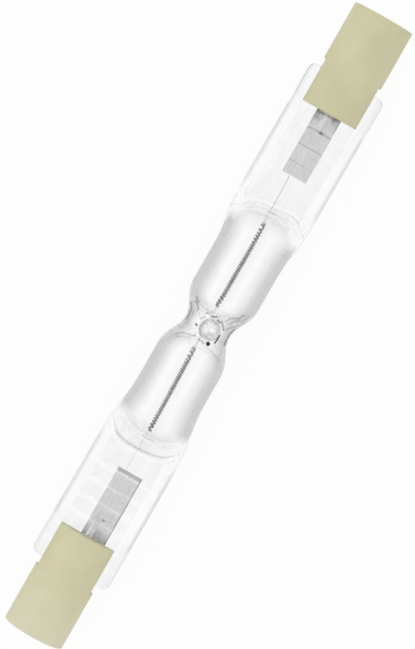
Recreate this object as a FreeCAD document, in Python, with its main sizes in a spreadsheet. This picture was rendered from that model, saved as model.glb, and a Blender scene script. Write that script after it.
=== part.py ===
import FreeCAD, Part
import math
import os
import re

import Sketcher
from FreeCAD import Placement, Rotation, Vector

# Linear halogen bulb, in millimetres. +X runs along the tube towards the right-hand cap, +Y lies in the
# plane of the two flat pinches, and +Z points to the side of the exhaust nub. The origin is the middle
# of the lamp. "Right" is +X and "left" is -X.

SIZES = {
    # From one contact face to the other, and the round well in front of each contact.
    "contact_span": 74.9,
    "well_depth": 1.7,
    "well_diameter": 4.4,
    "well_edge": 0.15,
    # Ceramic cap: a round barrel outside, two cheeks with a slot between them inside, and a solid web
    # between the slot and the contact.
    "cap_diameter": 7.2,
    "cap_length": 12.4,
    "cap_edge": 0.2,
    "cap_web": 1.6,
    "slot_width": 2.5,
    "lead_hole_diameter": 1.0,
    # Contact button: a head that seats in the floor of the well, level with it, and a hollow shank.
    "head_diameter": 3.8,
    "head_height": 0.5,
    "head_edge": 0.15,
    "head_clearance": 0.05,
    "shank_diameter": 1.6,
    "shank_length": 3.2,
    "shank_clearance": 0.05,
    "lead_cover": 0.15,
    # Outer lead: a round pin with a flat where the foil is welded on, over the foil's outer end.
    "lead_diameter": 0.8,
    "lead_flat": 0.1,
    "weld_length_right": 3.9,
    "weld_length_left": 3.59,
    # Sealing foil, thinned towards its long edges. Glass seals it off from the chamber on its inner side
    # and covers it at the pinch's end on its outer side.
    "foil_width": 3.0,
    "foil_thickness": 0.04,
    "foil_feather": 0.25,
    "foil_seal_right": 4.6,
    "foil_seal_left": 3.79,
    "foil_cover_right": 2.6,
    "foil_cover_left": 3.41,
    "foil_shift_right": -0.06,
    "foil_shift_left": -0.6,
    # Quartz tube with a drawn-in throat between its two chambers.
    "tube_diameter": 8.0,
    "tube_wall": 1.0,
    "tube_reach": 10.6,
    "throat_radius": 2.6,
    "throat_arc": 3.0,
    "shoulder_arc": 4.0,
    "shoulder_slope": 26.6,
    "bore_throat_radius": 1.0,
    "bore_throat_length": 1.8,
    "bore_opening": 3.3,
    # Length over which the tube is pressed flat, and the domed ends of the chambers.
    "press_length": 5.8,
    "dome_length": 3.9,
    "dome_radius": 4.2,
    # Pinch: a flat web with a round bead along each edge and ribs across both faces. It stops short of the
    # end of the cap's slot, and its ribs are placed from its end.
    "pinch_clearance": 0.95,
    "pinch_width_right": 9.24,
    "pinch_width_left": 9.68,
    "pinch_corner": 0.5,
    "web_thickness": 2.0,
    "bead_thickness": 2.3,
    "bead_slope": 0.3,
    "rib_inset_right": 6.51,
    "rib_inset_left": 6.19,
    "rib_pitch": 2.03,
    "rib_count": 4,
    "rib_height": 0.12,
    "rib_width": 0.6,
    # Exhaust nub on the throat.
    "nub_top": 3.9,
    "nub_dome": 1.15,
    "nub_radius": 1.3,
    "nub_root_radius": 1.5,
    "nub_bore": 0.45,
    "nub_bore_top": 3.1,
    "nub_shift": -0.36,
    # Filament: straight wire, and a close coil in each chamber that ends short of the dome.
    "wire_diameter": 0.12,
    "coil_diameter": 0.5,
    "coil_near_right": 2.55,
    "coil_near_left": 2.62,
    "coil_clearance_right": 1.5,
    "coil_clearance_left": 1.8,
    "coil_shift_near_right": 0.22,
    "coil_shift_far_right": 0.25,
    "coil_shift_near_left": 0.09,
    "coil_shift_far_left": -0.1,
    "wire_shift_right": 0.46,
    "wire_shift_left": 0.04,
    # Cement bed in each slot, set back from the ends of the cheeks.
    "cement_width": 5.6,
    "cement_setback": 0.3,
}

# Places worked out from the sizes.
TUBE_RADIUS = "(tube_diameter / 2)"
BORE_RADIUS = "(tube_diameter / 2 - tube_wall)"
CONTACT_FACE = "(contact_span / 2)"
HEAD_SEAT = "(contact_span / 2 - head_height)"
SHANK_END = f"({HEAD_SEAT} - shank_length)"
LEAD_END = "(contact_span / 2 - lead_cover)"
CAP_OUTER = "(contact_span / 2 + well_depth)"
CAP_INNER = f"({CAP_OUTER} - cap_length)"
SLOT_END = f"({SHANK_END} - cap_web)"
PINCH_END = f"({SLOT_END} - pinch_clearance)"
DOME_END = "(tube_reach + dome_length)"
FOIL_START = {side: f"({DOME_END} + foil_seal_{side})" for side in ("right", "left")}
FOIL_END = {side: f"({PINCH_END} - foil_cover_{side})" for side in ("right", "left")}
LEAD_START = {side: f"({FOIL_END[side]} - weld_length_{side})" for side in ("right", "left")}
COIL_END = {side: f"({DOME_END} - coil_clearance_{side})" for side in ("right", "left")}
FOIL_FACE = "(lead_diameter / 2 - lead_flat)"
FOIL_LEVEL = f"({FOIL_FACE} + foil_thickness / 2)"

# How the tube turns into the pinch: at each share of the pressed length, the share of the widening and
# of the flattening that is done. The last section lies inside the pinch, so the two blend.
PRESS_STAGES = ((0.0, 0.0, 0.0), (0.14, 0.2, 0.03), (0.36, 0.62, 0.2), (0.66, 1.03, 0.57), (1.0, 0.5, 1.05))
BORE_STAGES = ((0.0, 0.0, 0.0), (0.3, 0.4, 0.14), (0.6, 0.6, 0.5), (0.85, 0.6, 0.85))
# Share of the pressed length at which the pinch's own section starts, hidden in the glass.
PINCH_START_SHARE = 0.66
# Angle at which a pinch's corner arc starts, just short of the bead's own edge.
CORNER_ANGLE = 80
# A cut reaches this far past what it cuts.
MARGIN = 1.0

SIDES = {"right": 1, "left": -1}

# Turns a shape drawn in its own XY plane so that it faces along +X, or along -Y.
FACING_X = Rotation(Vector(0, 1, 0), Vector(0, 0, 1), Vector(1, 0, 0))
FACING_Y = Rotation(Vector(1, 0, 0), 90)

doc = FreeCAD.newDocument("linear_halogen_bulb")
sheet = doc.addObject("Spreadsheet::Sheet", "Sizes")
for row, (size_name, size) in enumerate(SIZES.items(), start=1):
    sheet.set(f"A{row}", str(size))
    sheet.setAlias(f"A{row}", size_name)
doc.recompute()

SIZE_NAME = re.compile(r"\b(" + "|".join(SIZES) + r")\b")


def cells(text):
    """The text with each size in it spelled as its cell of the sheet."""
    return SIZE_NAME.sub(r"Sizes.\1", text)


def number(text):
    """What a text of sizes comes to."""
    return float(sheet.evalExpression(cells(text)))


def bind(thing, **texts):
    """Bind properties of an object to texts of sizes."""
    for name, text in texts.items():
        thing.setExpression(name, cells(text))


def place(thing, x="0", y="0", z="0", turn=None):
    """Bind an object's place to texts of sizes, with a fixed turn."""
    turn = turn or Rotation()
    thing.Placement = Placement(Vector(), turn)
    for axis, text in zip("xyz", (x, y, z)):
        thing.setExpression(f"Placement.Base.{axis}", cells(text))


def drawn_arc(start, stop, radius, turn):
    """The short arc from start to stop, anticlockwise where turn is 1 and clockwise where it is -1."""
    half = (stop - start) * 0.5
    reach = math.sqrt(max(radius**2 - half.Length**2, 0))
    centre = start + half + Vector(-half.y, half.x, 0).normalize() * reach * turn
    first, last = (start, stop) if turn > 0 else (stop, start)
    angles = [math.atan2(p.y - centre.y, p.x - centre.x) for p in (first, last)]
    return Part.ArcOfCircle(Part.Circle(centre, Vector(0, 0, 1), radius), *angles)


def outline(sketch, corners):
    """Draw a closed outline, each corner held by two sizes.

    A corner is its two places, and where an arc leads on from it, that arc's radius and turn.
    """
    points = [Vector(number(corner[0]), number(corner[1]), 0) for corner in corners]
    ends = []
    for index, corner in enumerate(corners):
        start, stop = points[index], points[(index + 1) % len(points)]
        if len(corner) == 2:
            sketch.addGeometry(Part.LineSegment(start, stop))
            ends.append((1, 2))
        else:
            sketch.addGeometry(drawn_arc(start, stop, number(corner[2]), corner[3]))
            ends.append((1, 2) if corner[3] > 0 else (2, 1))
    for index, corner in enumerate(corners):
        start_end = ends[index][0]
        before = (index - 1) % len(corners)
        sketch.addConstraint(Sketcher.Constraint("Coincident", before, ends[before][1], index, start_end))
        hold_corner(sketch, index, start_end, points[index], corner)
        if len(corner) > 2:
            rule = Sketcher.Constraint("Radius", index, number(corner[2]))
            sketch.setExpression(f"Constraints[{sketch.addConstraint(rule)}]", cells(corner[2]))


def hold_corner(sketch, index, end, point, corner):
    """Tie one corner to the sketch's axes by its sizes."""
    for kind, axis, value, text in (("DistanceX", -2, point.x, corner[0]), ("DistanceY", -1, point.y, corner[1])):
        if text == "0":
            sketch.addConstraint(Sketcher.Constraint("PointOnObject", index, end, axis))
        elif value > 0:
            rule = Sketcher.Constraint(kind, -1, 1, index, end, value)
            sketch.setExpression(f"Constraints[{sketch.addConstraint(rule)}]", cells(text))
        else:
            rule = Sketcher.Constraint(kind, index, end, -1, 1, -value)
            sketch.setExpression(f"Constraints[{sketch.addConstraint(rule)}]", cells(f"-({text})"))


def new_sketch(name, corners, turn=FACING_Y):
    """A sketch by itself, in a plane given by its turn."""
    sketch = doc.addObject("Sketcher::SketchObject", name)
    sketch.Placement = Placement(Vector(), turn)
    outline(sketch, corners)
    return sketch


def body_sketch(body, name, corners):
    """A sketch in a body's own XZ plane."""
    sketch = body.newObject("Sketcher::SketchObject", name)
    plane = next(f for f in body.Origin.OriginFeatures if f.Role == "XZ_Plane")
    sketch.AttachmentSupport = (plane, [""])
    sketch.MapMode = "FlatFace"
    outline(sketch, corners)
    return sketch


def turned_body(name, corners):
    """A body turned about X from a half section."""
    body = doc.addObject("PartDesign::Body", name)
    section = body_sketch(body, f"{name}_section", corners)
    turned = body.newObject("PartDesign::Revolution", f"{name}_turned")
    turned.Profile = section
    turned.ReferenceAxis = (section, ["H_Axis"])
    turned.Angle = 360
    doc.recompute()
    return body


def face_outwards(thing, side):
    """Turn a piece that was made for the right-hand end to its own end."""
    thing.Placement = Placement(Vector(), Rotation(Vector(0, 0, 1), 0 if side > 0 else 180))


def revolved(name, sketch, axis):
    """A solid of revolution of a sketch about an axis through the origin."""
    solid = doc.addObject("Part::Revolution", name)
    solid.Source = sketch
    solid.Axis = axis
    solid.Angle = 360
    solid.Solid = True
    return solid


def extruded(name, sketch, length):
    """A solid drawn out along a sketch's own normal."""
    solid = doc.addObject("Part::Extrusion", name)
    solid.Base = sketch
    solid.DirMode = "Normal"
    solid.Solid = True
    bind(solid, LengthFwd=length)
    return solid


def joined(kind, name, *shapes):
    """A boolean of two shapes, or a fusion of any number."""
    solid = doc.addObject(kind, name)
    if kind == "Part::MultiFuse":
        solid.Shapes = list(shapes)
    else:
        solid.Base, solid.Tool = shapes
    return solid


def rod(name, start, stop, diameter):
    """A round rod between two points."""
    run = [f"({b} - {a})" for a, b in zip(start, stop)]
    solid = doc.addObject("Part::Cylinder", name)
    bind(
        solid,
        Radius=f"{diameter} / 2",
        Height="sqrt(" + " + ".join(f"pow({r}; 2)" for r in run) + ")",
        Placement=f"placement(vector({'; '.join(start)}); rotation(vector(0; 0; 1); vector({'; '.join(run)})))",
    )
    return solid


def make_cap(name, side):
    """Ceramic cap: barrel, contact well, stepped hole for the contact, and a slot for the pinch."""
    radius = "cap_diameter / 2"
    head_seat = "head_diameter / 2 + head_clearance"
    shank_hole = "shank_diameter / 2 + shank_clearance"
    cap = turned_body(
        name,
        [
            (CAP_INNER, "lead_hole_diameter / 2"),
            (CAP_INNER, f"{radius} - cap_edge"),
            (f"{CAP_INNER} + cap_edge", radius),
            (f"{CAP_OUTER} - cap_edge", radius),
            (CAP_OUTER, f"{radius} - cap_edge"),
            (CAP_OUTER, "well_diameter / 2 + well_edge"),
            (f"{CAP_OUTER} - well_edge", "well_diameter / 2"),
            (CONTACT_FACE, "well_diameter / 2"),
            (CONTACT_FACE, head_seat),
            (HEAD_SEAT, head_seat),
            (HEAD_SEAT, shank_hole),
            (f"{SHANK_END} - shank_clearance", shank_hole),
            (f"{SHANK_END} - shank_clearance", "lead_hole_diameter / 2"),
        ],
    )
    slot = cap.newObject("PartDesign::Pocket", f"{name}_slot")
    slot.Profile = body_sketch(
        cap,
        f"{name}_slot_outline",
        [
            (f"{CAP_INNER} - {MARGIN}", "-slot_width / 2"),
            (SLOT_END, "-slot_width / 2"),
            (SLOT_END, "slot_width / 2"),
            (f"{CAP_INNER} - {MARGIN}", "slot_width / 2"),
        ],
    )
    slot.Type = "ThroughAll"
    slot.Midplane = True
    face_outwards(cap, side)
    return cap


def make_contact(name, side):
    """Contact button with its hollow shank."""
    contact = turned_body(
        name,
        [
            (SHANK_END, "lead_diameter / 2"),
            (SHANK_END, "shank_diameter / 2"),
            (HEAD_SEAT, "shank_diameter / 2"),
            (HEAD_SEAT, "head_diameter / 2"),
            (f"{CONTACT_FACE} - head_edge", "head_diameter / 2"),
            (CONTACT_FACE, "head_diameter / 2 - head_edge"),
            (CONTACT_FACE, "0"),
            (LEAD_END, "0"),
            (LEAD_END, "lead_diameter / 2"),
        ],
    )
    face_outwards(contact, side)
    return contact


def make_lead(side_name, side):
    """Outer lead. Its weld flat faces +Z on the right and -Z on the left, where the foil lies."""
    start, weld_end = LEAD_START[side_name], FOIL_END[side_name]
    pin = doc.addObject("Part::Cylinder", f"pin_{side_name}")
    bind(pin, Radius="lead_diameter / 2", Height=f"{LEAD_END} - {start}")
    place(pin, x=start if side > 0 else f"-{LEAD_END}", turn=FACING_X)
    flat = doc.addObject("Part::Box", f"weld_flat_{side_name}")
    bind(flat, Length=f"{weld_end} - {start} + {MARGIN}", Width="lead_diameter", Height="lead_diameter")
    place(
        flat,
        x=f"{start} - {MARGIN}" if side > 0 else f"-{weld_end}",
        y="-lead_diameter / 2",
        z=FOIL_FACE if side > 0 else f"-{FOIL_FACE} - lead_diameter",
    )
    return joined("Part::Cut", f"outer_lead_{side_name}", pin, flat)


def make_foil(side_name, side):
    """Foil strip with feathered long edges."""
    half = "foil_width / 2"
    thick = "foil_thickness / 2"
    section = new_sketch(
        f"foil_section_{side_name}",
        [
            (f"-{half}", "0"),
            (f"-{half} + foil_feather", f"-{thick}"),
            (f"{half} - foil_feather", f"-{thick}"),
            (half, "0"),
            (f"{half} - foil_feather", thick),
            (f"-{half} + foil_feather", thick),
        ],
        FACING_X,
    )
    place(
        section,
        x=FOIL_START[side_name] if side > 0 else f"-{FOIL_END[side_name]}",
        y=f"foil_shift_{side_name}",
        z=FOIL_LEVEL if side > 0 else f"-{FOIL_LEVEL}",
        turn=FACING_X,
    )
    return extruded(f"foil_{side_name}", section, f"{FOIL_END[side_name]} - {FOIL_START[side_name]}")


def make_filament():
    """One wire: a straight lead from each foil, a coil in each chamber and a link through the throat.

    Each coil is the plain round form of its turns.
    """
    pieces = []
    overlap = "coil_diameter / 2"
    for side_name, side in SIDES.items():
        sign = "" if side > 0 else "-"
        near = (f"{sign}coil_near_{side_name}", f"coil_shift_near_{side_name}", "0")
        far = (f"{sign}{COIL_END[side_name]}", f"coil_shift_far_{side_name}", "0")
        pieces.append(rod(f"coil_{side_name}", near, far, "coil_diameter"))
        rim = (
            f"{sign}({COIL_END[side_name]} - {overlap})",
            f"(coil_shift_far_{side_name} + coil_diameter * 0.3)",
            f"{sign}coil_diameter * 0.16",
        )
        weld = (f"{sign}{FOIL_START[side_name]}", f"wire_shift_{side_name}", f"{sign}{FOIL_LEVEL}")
        pieces.append(rod(f"inner_lead_{side_name}", rim, weld, "wire_diameter"))
    link_right = (f"(coil_near_right + {overlap})", "coil_shift_near_right", "0")
    link_left = (f"(-coil_near_left - {overlap})", "coil_shift_near_left", "0")
    pieces.append(rod("throat_link", link_right, link_left, "wire_diameter"))
    return joined("Part::MultiFuse", "filament", *pieces)


def both_ends(right_half):
    """An outline's corners for both ends, from those of the right-hand end in order of x.

    An arc that leads on from a corner leads back to its mirror image on the left.
    """
    left_half = []
    for index in range(len(right_half) - 1, -1, -1):
        x, y = right_half[index][:2]
        arc = right_half[index - 1][2:] if index > 0 else ()
        left_half.append((f"-{x}", y, *arc))
    return left_half + list(right_half)


def turned_tube():
    """Outside of the tube: a throat that opens over two shoulders into the chambers."""
    neck_x = "(throat_arc * sin(shoulder_slope))"
    neck_r = "(throat_radius + throat_arc * (1 - cos(shoulder_slope)))"
    shoulder_r = f"({TUBE_RADIUS} - shoulder_arc * (1 - cos(shoulder_slope)))"
    shoulder_x = f"({neck_x} + ({shoulder_r} - {neck_r}) / tan(shoulder_slope))"
    tube_x = f"({shoulder_x} + shoulder_arc * sin(shoulder_slope))"
    corners = both_ends(
        [
            (neck_x, neck_r),
            (shoulder_x, shoulder_r, "shoulder_arc", -1),
            (tube_x, TUBE_RADIUS),
            ("tube_reach", TUBE_RADIUS),
            ("tube_reach", "0"),
        ]
    )
    throat = len(corners) // 2 - 1
    corners[throat] = (*corners[throat], "throat_arc", 1)
    return revolved("tube", new_sketch("tube_section", corners), Vector(1, 0, 0))


def turned_bore():
    """Inside of the tube: a narrow throat between two wide chambers."""
    corners = both_ends(
        [
            ("(bore_throat_length / 2)", "bore_throat_radius"),
            ("bore_opening", BORE_RADIUS),
            ("tube_reach", BORE_RADIUS),
            ("tube_reach", "0"),
        ]
    )
    return revolved("bore", new_sketch("bore_section", corners), Vector(1, 0, 0))


def pressed_loft(name, side, radius, half_width, half_height, stages):
    """The stretch where the round tube, or its bore, is pressed wide and flat."""
    sections = []
    sign = "" if side > 0 else "-"
    for index, (along, wide, flat) in enumerate(stages):
        section = doc.addObject("Part::Ellipse", f"{name}_section_{index}")
        bind(
            section,
            MajorRadius=f"{radius} + {wide} * ({half_width} - {radius})",
            MinorRadius=f"{radius} - {flat} * ({radius} - {half_height})",
        )
        place(section, x=f"{sign}(tube_reach + {along} * press_length)", turn=FACING_X)
        sections.append(section)
    loft = doc.addObject("Part::Loft", name)
    loft.Sections = sections
    loft.Solid = True
    loft.Ruled = True
    return loft


def make_pinch(side_name, side):
    """Flat pinch: a beaded section along X, rounded at its end corners, with ribs across both faces."""
    name = f"pinch_{side_name}"
    half = f"(pinch_width_{side_name} / 2)"
    start = f"(tube_reach + {PINCH_START_SHARE} * press_length)"
    web, bead = "web_thickness / 2", "bead_thickness / 2"
    slope_start = f"({half} - {bead} - bead_slope)"
    section = new_sketch(
        f"{name}_section",
        [
            (f"-{slope_start}", f"-{web}"),
            (slope_start, f"-{web}"),
            (f"{half} - {bead}", f"-{bead}", bead, 1),
            (half, "0", bead, 1),
            (f"{half} - {bead}", bead),
            (slope_start, web),
            (f"-{slope_start}", web),
            (f"-({half} - {bead})", bead, bead, 1),
            (f"-{half}", "0", bead, 1),
            (f"-({half} - {bead})", f"-{bead}"),
        ],
        FACING_X,
    )
    place(section, x=start if side > 0 else f"-{PINCH_END}", turn=FACING_X)
    bar = extruded(f"{name}_bar", section, f"{PINCH_END} - {start}")
    corner_x = f"({PINCH_END} - pinch_corner * (1 - cos({CORNER_ANGLE})))"
    corner_y = f"({half} - pinch_corner * (1 - sin({CORNER_ANGLE})))"
    plan = new_sketch(
        f"{name}_plan",
        [
            (f"{start} - {MARGIN}", f"-{half} - {MARGIN}"),
            (corner_x, f"-{half} - {MARGIN}"),
            (corner_x, f"-{corner_y}", "pinch_corner", 1),
            (PINCH_END, f"-({half} - pinch_corner)"),
            (PINCH_END, f"{half} - pinch_corner", "pinch_corner", 1),
            (corner_x, corner_y),
            (corner_x, f"{half} + {MARGIN}"),
            (f"{start} - {MARGIN}", f"{half} + {MARGIN}"),
        ],
        Rotation(Vector(0, 0, 1), 0 if side > 0 else 180),
    )
    place(plan, z="-bead_thickness", turn=plan.Placement.Rotation)
    plate = extruded(f"{name}_plate", plan, "bead_thickness * 2")
    slab = joined("Part::Common", f"{name}_slab", bar, plate)
    return joined("Part::MultiFuse", name, slab, *pinch_ribs(side_name, side, half))


def pinch_ribs(side_name, side, half):
    """Low round ribs across the web, on both faces of one pinch."""
    ribs = []
    radius = "((pow(rib_width / 2; 2) + pow(rib_height; 2)) / (2 * rib_height))"
    reach = f"({half} - bead_thickness / 2 - bead_slope / 2)"
    sign = "" if side > 0 else "-"
    for index in range(round(number("rib_count"))):
        for face in (1, -1):
            rib = doc.addObject("Part::Cylinder", f"rib_{side_name}_{index}_{'front' if face > 0 else 'back'}")
            bind(rib, Radius=radius, Height=f"2 * {reach}")
            place(
                rib,
                x=f"{sign}({PINCH_END} - rib_inset_{side_name} - {index} * rib_pitch)",
                y=reach,
                z=f"{face} * (web_thickness / 2 + rib_height - {radius})",
                turn=FACING_Y,
            )
            ribs.append(rib)
    return ribs


def make_nub():
    """Sealed-off exhaust nub and the hole that is left in it."""
    dome = "((pow(nub_radius; 2) + pow(nub_dome; 2)) / (2 * nub_dome))"
    section = new_sketch(
        "nub_section",
        [
            ("0", "bore_throat_radius"),
            ("nub_root_radius", "bore_throat_radius"),
            ("nub_radius", "nub_top - nub_dome", dome, 1),
            ("0", "nub_top"),
        ],
    )
    nub = revolved("nub", section, Vector(0, 0, 1))
    place(nub, y="nub_shift")
    hole = doc.addObject("Part::Cylinder", "nub_hole")
    bind(hole, Radius="nub_bore", Height="nub_bore_top")
    place(hole, y="nub_shift")
    return nub, hole


def make_envelope(sealed_in):
    """Quartz envelope: the outer form, less its chambers and the metal that is sealed in it."""
    outside = [turned_tube()]
    inside = [turned_bore()]
    for side_name, side in SIDES.items():
        half = f"(pinch_width_{side_name} / 2)"
        outside.append(
            pressed_loft(f"press_{side_name}", side, TUBE_RADIUS, half, "(web_thickness / 2)", PRESS_STAGES)
        )
        outside.append(make_pinch(side_name, side))
        flattened = pressed_loft(f"press_bore_{side_name}", side, BORE_RADIUS, half, "0.0", BORE_STAGES)
        ball = doc.addObject("Part::Sphere", f"dome_ball_{side_name}")
        bind(ball, Radius="dome_radius")
        place(ball, x=f"{'' if side > 0 else '-'}({DOME_END} - dome_radius)")
        inside.append(joined("Part::Common", f"chamber_end_{side_name}", flattened, ball))
    nub, nub_hole = make_nub()
    glass = joined("Part::MultiFuse", "glass", *outside, nub)
    hollow = joined("Part::MultiFuse", "hollow", *inside, nub_hole)
    blown = joined("Part::Cut", "blown_glass", glass, hollow)
    metal = joined("Part::MultiFuse", "sealed_in", *sealed_in)
    return blown, joined("Part::Cut", "quartz_envelope", blown, metal)


def make_cement(name, side, blown_glass, lead):
    """Cement bed: what is left of the slot's middle round the pinch and the lead."""
    fill = doc.addObject("Part::Box", f"{name}_fill")
    near = f"({CAP_INNER} + cement_setback)"
    bind(fill, Length=f"{SLOT_END} - {near}", Width="cement_width", Height="slot_width")
    place(fill, x=near if side > 0 else f"-{SLOT_END}", y="-cement_width / 2", z="-slot_width / 2")
    round_pinch = joined("Part::Cut", f"{name}_round_pinch", fill, blown_glass)
    return joined("Part::Cut", name, round_pinch, lead)


def make_lamp():
    """Every piece of the lamp, by its own name."""
    leads, foils = {}, {}
    for side_name, side in SIDES.items():
        leads[side_name] = make_lead(side_name, side)
        foils[side_name] = make_foil(side_name, side)
    filament = make_filament()
    blown_glass, envelope = make_envelope([*leads.values(), *foils.values(), filament])
    pieces = [envelope, filament, *leads.values(), *foils.values()]
    for side_name, side in SIDES.items():
        pieces.append(make_cap(f"cap_{side_name}", side))
        pieces.append(make_contact(f"contact_{side_name}", side))
        pieces.append(make_cement(f"cement_{side_name}", side, blown_glass, leads[side_name]))
    return pieces


def check(pieces):
    """Stop if an object failed or a piece isn't one sound solid."""
    failed = [thing.Name for thing in doc.Objects if {"Invalid", "Error"} & set(thing.State)]
    failed += [p.Label for p in pieces if p.Shape.isNull() or not p.Shape.isValid() or len(p.Shape.Solids) != 1]
    if failed:
        raise RuntimeError(f"these didn't build: {', '.join(failed)}")


lamp = make_lamp()
doc.recompute()
check(lamp)
os.makedirs("parts", exist_ok=True)
for piece in lamp:
    piece.Shape.exportStep(f"parts/{piece.Label}.step")
    box = piece.Shape.BoundBox
    print(f"{piece.Label}: {piece.Shape.Volume:.3f} mm3, {box.XLength:.2f} x {box.YLength:.2f} x {box.ZLength:.2f}")
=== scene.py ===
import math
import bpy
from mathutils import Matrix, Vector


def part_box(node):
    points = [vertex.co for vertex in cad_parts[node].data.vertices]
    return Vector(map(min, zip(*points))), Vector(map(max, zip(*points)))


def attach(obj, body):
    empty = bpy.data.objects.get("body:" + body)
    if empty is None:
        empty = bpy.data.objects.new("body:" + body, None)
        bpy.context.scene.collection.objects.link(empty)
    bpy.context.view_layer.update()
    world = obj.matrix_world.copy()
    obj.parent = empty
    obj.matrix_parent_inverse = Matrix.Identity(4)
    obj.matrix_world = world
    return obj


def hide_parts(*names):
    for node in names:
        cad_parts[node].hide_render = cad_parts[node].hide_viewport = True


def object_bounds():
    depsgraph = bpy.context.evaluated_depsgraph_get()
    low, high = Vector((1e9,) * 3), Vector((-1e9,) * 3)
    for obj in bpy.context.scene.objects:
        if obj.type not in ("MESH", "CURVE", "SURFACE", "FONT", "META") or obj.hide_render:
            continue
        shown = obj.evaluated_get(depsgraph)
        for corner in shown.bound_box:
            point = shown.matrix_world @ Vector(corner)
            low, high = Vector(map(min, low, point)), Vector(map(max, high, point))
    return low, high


bl_info = {
    "name": "Linear Halogen Bulb",
    "version": (1, 0, 0),
    "blender": (4, 5, 0),
    "location": "View3D > Sidebar > Lamp",
    "description": "Builds a double-ended linear halogen bulb around its packed CAD model",
    "category": "Add Mesh",
}

import bmesh
import bpy
from bpy.props import FloatProperty, FloatVectorProperty, IntProperty, PointerProperty
from mathutils import Matrix, Vector, noise

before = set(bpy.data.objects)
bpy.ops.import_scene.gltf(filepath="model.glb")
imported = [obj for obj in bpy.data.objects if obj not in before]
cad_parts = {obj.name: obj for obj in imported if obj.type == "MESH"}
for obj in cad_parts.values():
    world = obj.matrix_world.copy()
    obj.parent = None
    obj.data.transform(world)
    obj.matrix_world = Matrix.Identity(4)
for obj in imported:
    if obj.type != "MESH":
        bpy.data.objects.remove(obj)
cad_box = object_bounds()

# Lengths are metres where nothing else is said, with +X along the tube, +Y across it in the plane of the
# pinches and +Z towards the exhaust nub. "Right" is +X and "left" is -X. A reach is a distance from the
# lamp's middle along X, to either side.
MM = 0.001
LONGEST = 100 * MM
SIDES = {"right": 1, "left": -1}
BLACK, WHITE = (0, 0, 0, 1), (1, 1, 1, 1)

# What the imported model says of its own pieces.
GLASS_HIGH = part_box("quartz_envelope")[1]
CAP_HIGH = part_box("cap_right")[1]
CONTACT_LOW, CONTACT_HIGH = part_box("contact_right")
FLOOR_LEVEL = cad_box[0].z

# The photograph's height in pixels, its scale, the way +X runs in it, and the point on the lamp at its
# middle. The lens stands at the camera's place.
PHOTO_HEIGHT = 649
PIXELS_PER_METRE = 9035.0
ALONG_IN_PHOTO = (0.49576, 0.86846)
PHOTO_MIDDLE = Vector((0.23, 0.155, 0.0)) * MM
CAMERA_PLACE = Vector((22.7, 0.155, 399.4)) * MM
SENSOR_WIDTH = 36
CAMERA_RANGE = (0.01, 20)

# The stage: a wide floor, one soft box, and a sky of an even level that rises a little overhead.
FLOOR_SIZE = 6
SOFT_BOX_SIZE = (0.9, 0.5)
SOFT_BOX_POWER = 0.9
SOFT_BOX_PLACE = Vector((0.0, 0.73, 0.61))
SKY_LEVEL, SKY_RISE = 0.84, 0.1


def length(name, description, value_mm):
    """A length property, given in millimetres."""
    return FloatProperty(
        name=name,
        description=description,
        default=value_mm * MM,
        min=-LONGEST,
        max=LONGEST,
        subtype="DISTANCE",
        unit="LENGTH",
        precision=5,
    )


def colour(name, description, value):
    """A colour property without alpha."""
    return FloatVectorProperty(
        name=name, description=description, default=value, subtype="COLOR", size=3, min=0, max=1
    )


class GlassSizes(bpy.types.PropertyGroup):
    """Sizes of the quartz envelope"""

    tube_radius: length("Tube Radius", "Outside radius of both chambers", 4.0)
    throat_radius: length("Throat Radius", "Outside radius at the drawn-in throat", 2.73)
    throat_arc: length("Throat Arc", "Radius of the curve that runs through the throat", 3.0)
    shoulder_arc: length("Shoulder Arc", "Radius of the curve where a shoulder meets its chamber", 4.0)
    bore_radius: length("Bore Radius", "Inside radius of both chambers", 3.0)
    bore_throat: length("Bore Throat", "Inside radius at the throat", 1.0)
    dome_reach: length("Dome Reach", "Where the right-hand chamber ends", 14.5)
    bead_radius: length("Bead Radius", "Radius of the round bead along a pinch's edges", 1.15)
    web_half: length("Web Half Thickness", "Half the thickness between the beads", 1.0)
    rib_height: length("Rib Height", "Height of the cross ribs on a pinch", 0.12)
    rib_width: length("Rib Width", "Width of a cross rib", 0.55)
    rib_pitch: length("Rib Pitch", "Spacing of the cross ribs", 2.03)
    rib_first_right: length("Right Rib", "Place of the right-hand pinch's inner rib", 18.6)
    rib_first_left: length("Left Rib", "Place of the left-hand pinch's inner rib", 18.92)
    nub_radius: length("Nub Radius", "Radius of the sealed exhaust nub", 1.15)
    nub_top: length("Nub Top", "Height of the exhaust nub above the axis", 3.9)
    nub_shift: length("Nub Shift", "Place of the nub across the tube", -0.36)
    ring_points: IntProperty(
        name="Ring Points", description="Points round the glass", default=192, min=32, max=256
    )


class MetalSizes(bpy.types.PropertyGroup):
    """Sizes of the filament, the foils and the outer leads"""

    wire_radius: length("Wire Radius", "Radius of the filament's wire", 0.08)
    straight_radius: length("Straight Radius", "Radius of the wire outside the coils", 0.045)
    coil_radius: length("Coil Radius", "Radius of the coil's centre line", 0.225)
    coil_pitch: length("Coil Pitch", "Length of one turn of the coil", 0.266)
    lead_radius: length("Lead Radius", "Radius of an outer lead", 0.4)
    foil_thickness: length("Foil Thickness", "Thickness of a sealing foil", 0.04)


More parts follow.
